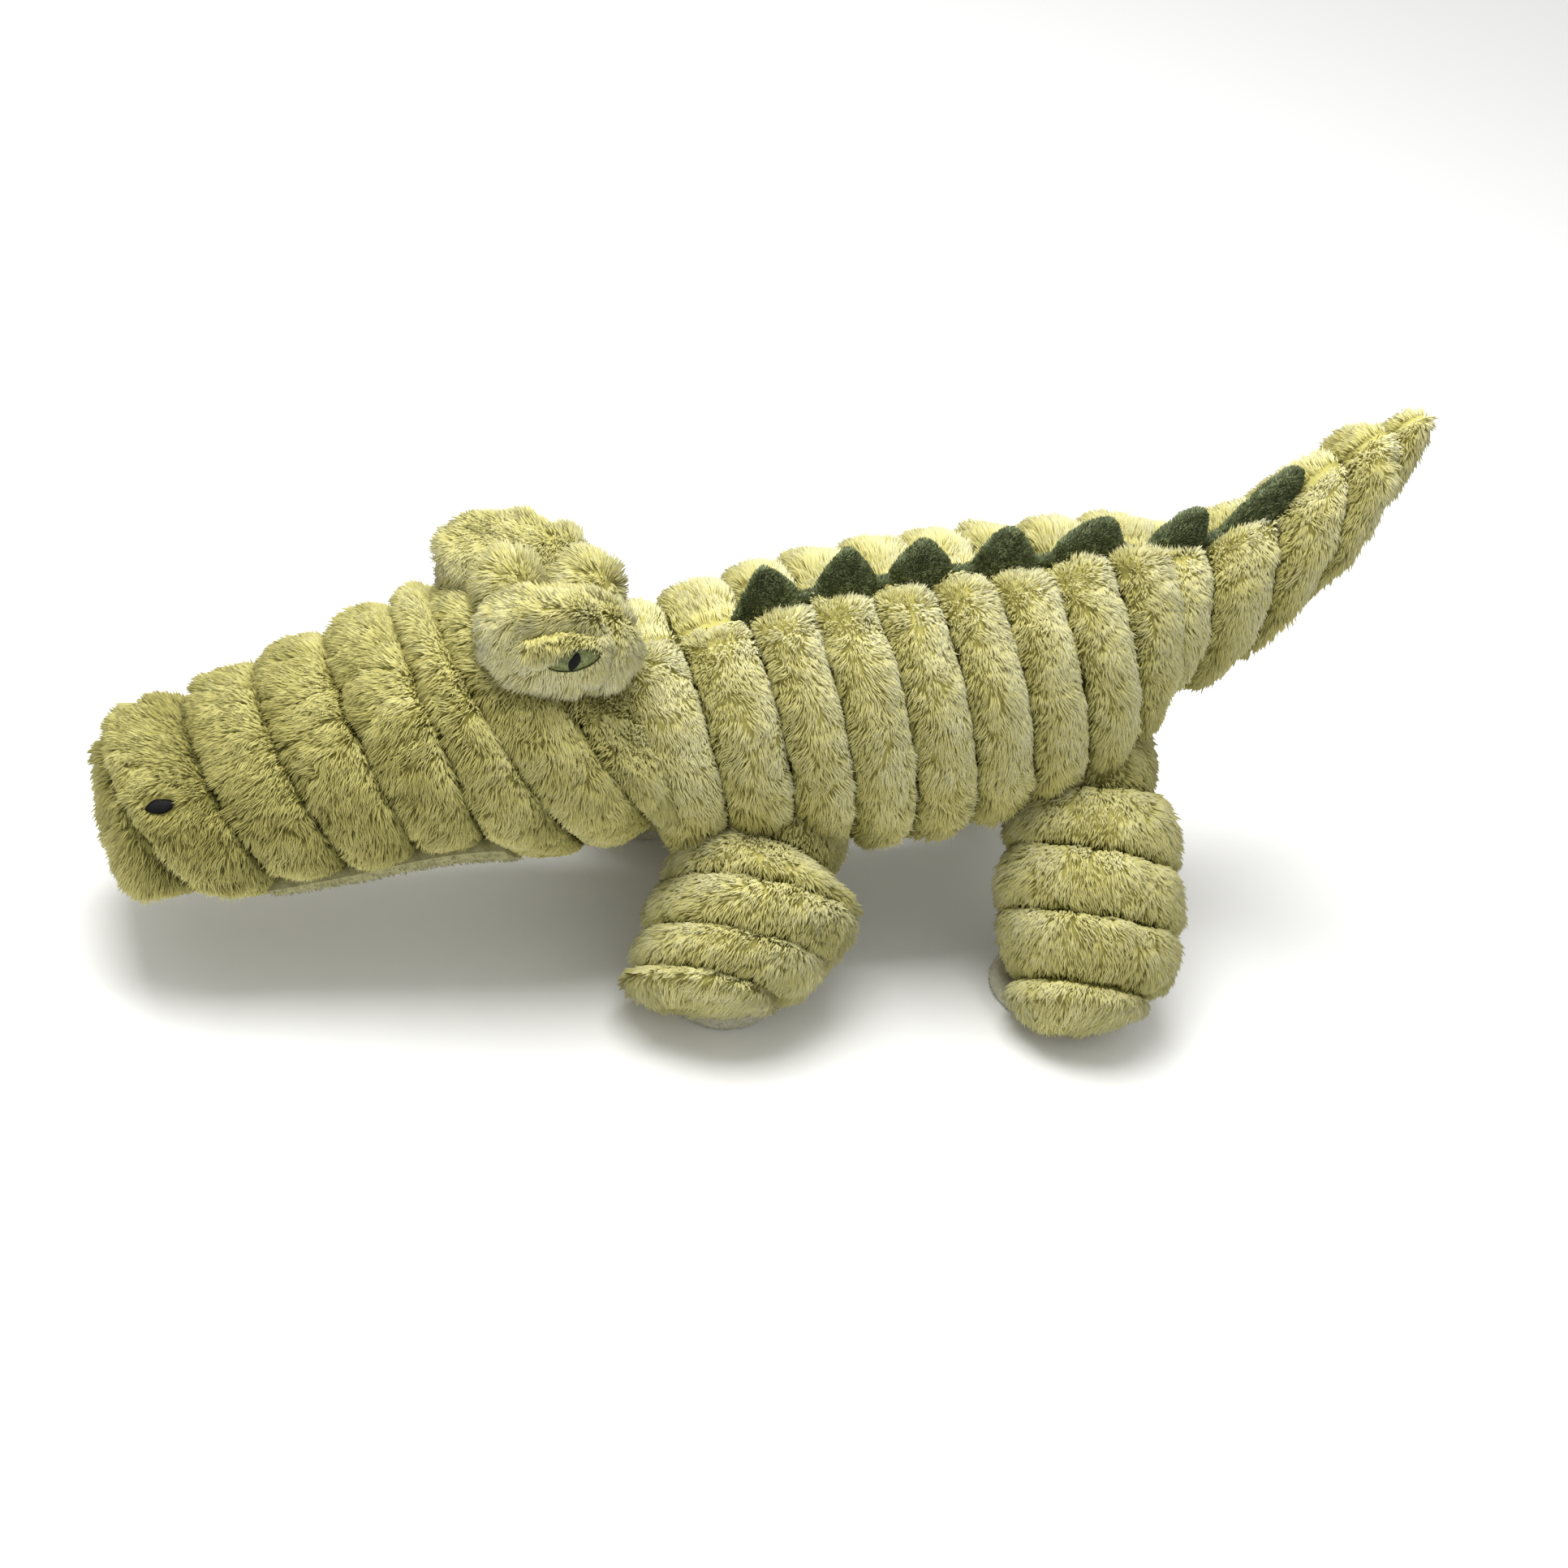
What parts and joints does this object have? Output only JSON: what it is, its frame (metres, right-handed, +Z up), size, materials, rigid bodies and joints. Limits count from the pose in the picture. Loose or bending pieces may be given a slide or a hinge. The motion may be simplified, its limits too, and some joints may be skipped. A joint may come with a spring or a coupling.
{
  "type": "plush crocodile dog toy",
  "caption": "Stuffed long-pile plush crocodile toy for dogs: quilted rolls, back spikes, splayed soft legs and a raised tail, with a squeaker in the belly.",
  "frame": {"origin": "on the floor, under the middle of the toy's length and width", "axes": "+Z up, +X from the nose towards the tail, +Y to the toy's right side"},
  "size_m": [0.6024, 0.2794, 0.2806],
  "materials": {
    "long_pile_plush": "long, brushed polyester pile, sage green with lighter tips",
    "smooth_plush": "short, smooth pile, light grey cream",
    "spike_plush": "short, shiny pile, dark forest green",
    "green_thread": "satin stitch embroidery, olive green",
    "black_thread": "satin stitch embroidery, black",
    "squeaker_plastic": "milky blown polyethylene"
  },
  "bodies": {
    "body": {"torso": "long_pile_plush", "belly_panel": "smooth_plush", "squeaker_bulb": "squeaker_plastic", "squeaker_reed": "squeaker_plastic", "spike_1": "spike_plush", "spike_2": "spike_plush", "spike_3": "spike_plush", "spike_4": "spike_plush", "spike_5": "spike_plush"},
    "head": {"head": "long_pile_plush", "jaw_panel": "smooth_plush", "crown_rolls": "long_pile_plush", "eye_bump_left": "long_pile_plush", "eye_bump_right": "long_pile_plush", "eye_left": "green_thread", "eye_right": "green_thread", "pupil_left": "black_thread", "pupil_right": "black_thread", "nostril_left": "black_thread", "nostril_right": "black_thread"},
    "tail": {"tail": "long_pile_plush", "spike_6": "spike_plush", "spike_7": "spike_plush"},
    "front_leg_left": {"front_leg_left": "long_pile_plush", "front_sole_left": "smooth_plush"},
    "front_leg_right": {"front_leg_right": "long_pile_plush", "front_sole_right": "smooth_plush"},
    "hind_leg_left": {"hind_leg_left": "long_pile_plush", "hind_sole_left": "smooth_plush"},
    "hind_leg_right": {"hind_leg_right": "long_pile_plush", "hind_sole_right": "smooth_plush"}
  },
  "joints": [
    {"name": "neck_nod", "type": "hinge", "parent": "body", "child": "head", "pos_m": [-0.0635, 0, 0.103], "axis": [0, 1, 0], "range_deg": [-7, 7], "stiffness_Nm_per_rad": 8},
    {"name": "tail_wag", "type": "hinge", "parent": "body", "child": "tail", "pos_m": [0.1775, 0, 0.161], "axis": [0, 0, 1], "range_deg": [-10, 10], "stiffness_Nm_per_rad": 1},
    {"name": "front_leg_left_swing", "type": "hinge", "parent": "body", "child": "front_leg_left", "pos_m": [-0.00156, -0.041, 0.068], "axis": [0, 1, 0], "range_deg": [-10, 10], "stiffness_Nm_per_rad": 1.5},
    {"name": "front_leg_right_swing", "type": "hinge", "parent": "body", "child": "front_leg_right", "pos_m": [-0.00156, 0.041, 0.068], "axis": [0, 1, 0], "range_deg": [-10, 10], "stiffness_Nm_per_rad": 1.5},
    {"name": "hind_leg_left_swing", "type": "hinge", "parent": "body", "child": "hind_leg_left", "pos_m": [0.15653, -0.04, 0.097], "axis": [0, 1, 0], "range_deg": [-10, 10], "stiffness_Nm_per_rad": 1.5},
    {"name": "hind_leg_right_swing", "type": "hinge", "parent": "body", "child": "hind_leg_right", "pos_m": [0.15653, 0.04, 0.097], "axis": [0, 1, 0], "range_deg": [-10, 10], "stiffness_Nm_per_rad": 1.5}
  ]
}
